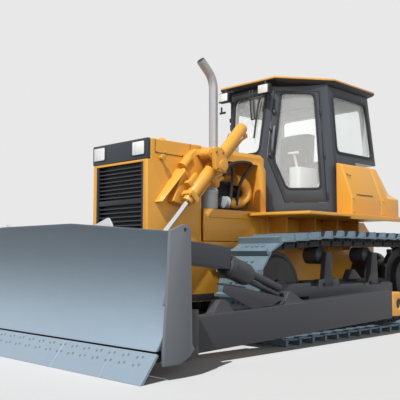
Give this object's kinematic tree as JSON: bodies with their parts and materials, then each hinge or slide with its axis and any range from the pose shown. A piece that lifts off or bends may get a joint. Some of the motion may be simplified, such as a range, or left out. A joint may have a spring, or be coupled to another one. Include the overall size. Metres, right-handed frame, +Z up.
{
  "type": "bulldozer",
  "caption": "Track-type bulldozer with a straight blade on outside push arms, two lift cylinders and an enclosed six-sided cab",
  "frame": {"origin": "on the ground, at the middle of the width and the length", "axes": "-Y forward (the blade's side), +X the machine's left, +Z up"},
  "size_m": [3.388, 5.14, 3.0266],
  "materials": {
    "yellow_paint": "semi-gloss yellow-orange enamel on steel",
    "dark_paint": "satin dark grey enamel on steel",
    "cab_paint": "satin blue-grey enamel on sheet steel",
    "blade_steel": "ground bluish steel plate",
    "track_steel": "bare forged steel, worn on the grousers",
    "black_plastic": "matte black",
    "chrome": "polished hard chrome",
    "bright_steel": "bright steel tube",
    "glass": "clear safety glass",
    "seat_cover": "dark woven seat cloth",
    "light_trim": "light grey moulded trim"
  },
  "bodies": {
    "chassis": {"hull": "yellow_paint", "radiator_guard": "yellow_paint", "hood": "yellow_paint", "engine_side_panel_left": "yellow_paint", "engine_side_panel_right": "yellow_paint", "platform": "yellow_paint", "fuel_tank": "yellow_paint", "side_box_left": "yellow_paint", "side_box_right": "yellow_paint", "cab_roof": "yellow_paint", "lift_yoke_left": "yellow_paint", "lift_yoke_right": "yellow_paint", "turbo_duct": "yellow_paint", "track_frame_left": "dark_paint", "track_frame_right": "dark_paint", "idler_left": "dark_paint", "idler_right": "dark_paint", "sprocket_left": "dark_paint", "sprocket_right": "dark_paint", "drawbar": "dark_paint", "engine_block": "dark_paint", "cab_frame": "cab_paint", "header_panel": "cab_paint", "track_left": "track_steel", "track_right": "track_steel", "grille": "black_plastic", "seat_base": "black_plastic", "exhaust_pipe": "bright_steel", "windshield": "glass", "rear_window": "glass", "side_window_left": "glass", "side_window_right": "glass", "seat": "seat_cover", "fuel_filter": "light_trim", "side_console": "light_trim", "dash": "light_trim"},
    "blade": {"moldboard": "blade_steel", "cutting_edge": "blade_steel", "blade_frame": "dark_paint", "push_arm_left": "dark_paint", "push_arm_right": "dark_paint", "trunnion_cap_left": "yellow_paint", "trunnion_cap_right": "yellow_paint", "tilt_brace_left": "dark_paint", "tilt_brace_right": "dark_paint"},
    "barrel_left": {"lift_barrel_left": "yellow_paint"},
    "barrel_right": {"lift_barrel_right": "yellow_paint"},
    "rod_left": {"lift_rod_left": "chrome"},
    "rod_right": {"lift_rod_right": "chrome"},
    "door_left": {"cab_door_left": "cab_paint", "door_glass_left": "glass"},
    "door_right": {"cab_door_right": "cab_paint", "door_glass_right": "glass"}
  },
  "joints": [
    {"name": "blade_lift", "type": "hinge", "parent": "chassis", "child": "blade", "pos_m": [0, 1.29, 0.32], "axis": [-1, 0, 0], "range_deg": [-8, 16.3]},
    {"name": "barrel_swing_left", "type": "hinge", "parent": "chassis", "child": "barrel_left", "pos_m": [0.6, -0.779, 1.689], "axis": [-1, 0, 0], "range_deg": [-12.98, 25.93]},
    {"name": "rod_slide_left", "type": "slide", "parent": "barrel_left", "child": "rod_left", "axis": [0, 0.6942, 0.7198], "range_m": [-0.3196, 0.6469]},
    {"name": "barrel_swing_right", "type": "hinge", "parent": "chassis", "child": "barrel_right", "pos_m": [-0.6, -0.779, 1.689], "axis": [-1, 0, 0], "range_deg": [-12.98, 25.93]},
    {"name": "rod_slide_right", "type": "slide", "parent": "barrel_right", "child": "rod_right", "axis": [0, 0.6942, 0.7198], "range_m": [-0.3196, 0.6469]},
    {"name": "door_swing_left", "type": "hinge", "parent": "chassis", "child": "door_left", "pos_m": [0.72875, 0.90868, 1.45001], "axis": [-0.0422, -0.0414, 0.9983], "range_deg": [0, 105]},
    {"name": "door_swing_right", "type": "hinge", "parent": "chassis", "child": "door_right", "pos_m": [-0.72875, 0.90868, 1.45001], "axis": [-0.0422, 0.0414, -0.9983], "range_deg": [0, 105]}
  ],
  "couplings": [
    {"joint": "barrel_swing_left", "follows": "blade_lift", "ratio": 1.56},
    {"joint": "rod_slide_left", "follows": "blade_lift", "m_per_rad": 2.26},
    {"joint": "barrel_swing_right", "follows": "blade_lift", "ratio": 1.56},
    {"joint": "rod_slide_right", "follows": "blade_lift", "m_per_rad": 2.26}
  ]
}
